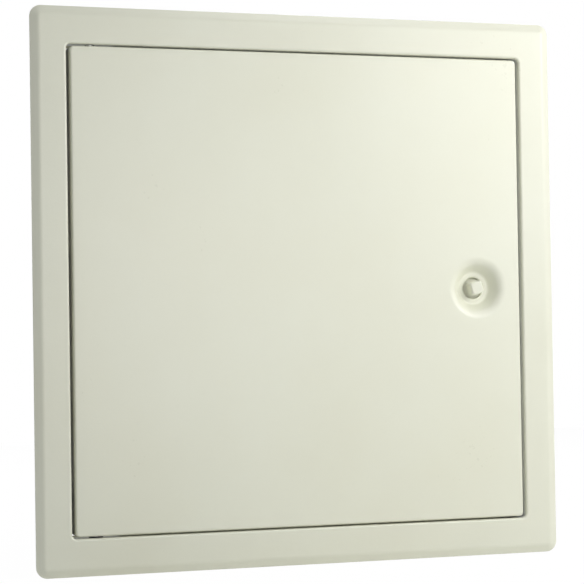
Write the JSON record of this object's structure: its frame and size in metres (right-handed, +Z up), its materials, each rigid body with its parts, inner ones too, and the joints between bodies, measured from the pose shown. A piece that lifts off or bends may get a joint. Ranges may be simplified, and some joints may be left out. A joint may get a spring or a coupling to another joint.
{
  "type": "access panel",
  "caption": "Flush square steel access panel with a bevelled surround, a pivot-hinged door and a square-key quarter-turn lock, built into a wall or ceiling opening.",
  "frame": {"origin": "centre of the door opening on the wall plane where the surround rests", "axes": "+X towards the lock side, +Y into the wall, +Z up; the front faces -Y"},
  "size_m": [0.3488, 0.0562, 0.3488],
  "materials": {
    "frame_coat": "off-white powder coat with fine orange peel",
    "door_coat": "off-white powder coat with fine orange peel",
    "rail_coat": "off-white powder coat",
    "lock_coat": "off-white powder coat",
    "nylon": "black nylon",
    "foam": "pale closed-cell foam",
    "strap_zinc": "hot-dip zinc",
    "bracket_zinc": "bright zinc plate",
    "lock_zinc": "bright zinc plate",
    "cam_zinc": "bright zinc plate",
    "screw_zinc": "bright zinc plate",
    "rivet_steel": "plain steel",
    "pin_steel": "turned steel",
    "spring_steel": "drawn spring wire"
  },
  "bodies": {
    "frame": {"face_frame": "frame_coat", "top_rail": "rail_coat", "bottom_rail": "rail_coat", "lock_rail": "rail_coat", "hinge_rail": "rail_coat", "upper_pivot_bush": "nylon", "lower_pivot_bush": "nylon", "stop_pads": "foam", "strap_upper_left": "strap_zinc", "strap_lower_left": "strap_zinc", "strap_upper_right": "strap_zinc", "strap_lower_right": "strap_zinc", "strap_rivets": "rivet_steel"},
    "door": {"door_leaf": "door_coat", "upper_bolt_bracket": "bracket_zinc", "lower_pivot_bracket": "bracket_zinc", "lower_pivot_pin": "pin_steel", "bolt_spring": "spring_steel", "lock_bush": "lock_coat", "lock_nut": "lock_zinc"},
    "lock": {"lock_spindle": "lock_coat", "stop_washer": "lock_zinc", "lock_cam": "cam_zinc", "cam_washer": "lock_zinc", "cam_screw": "screw_zinc"},
    "bolt": {"hinge_bolt": "pin_steel", "bolt_clip": "spring_steel"}
  },
  "joints": [
    {"name": "door_hinge", "type": "hinge", "parent": "frame", "child": "door", "pos_m": [-0.136, 0.0038, 0], "axis": [0, 0, -1], "range_deg": [0, 110]},
    {"name": "lock_turn", "type": "hinge", "parent": "door", "child": "lock", "pos_m": [0.12, 0, 0], "axis": [0, 1, 0], "range_deg": [0, 90]},
    {"name": "bolt_slide", "type": "slide", "parent": "door", "child": "bolt", "axis": [0, 0, -1], "range_m": [0, 0.008], "stiffness_N_per_m": 400, "springref_m": -0.01, "deforming": ["bolt_spring"]}
  ]
}
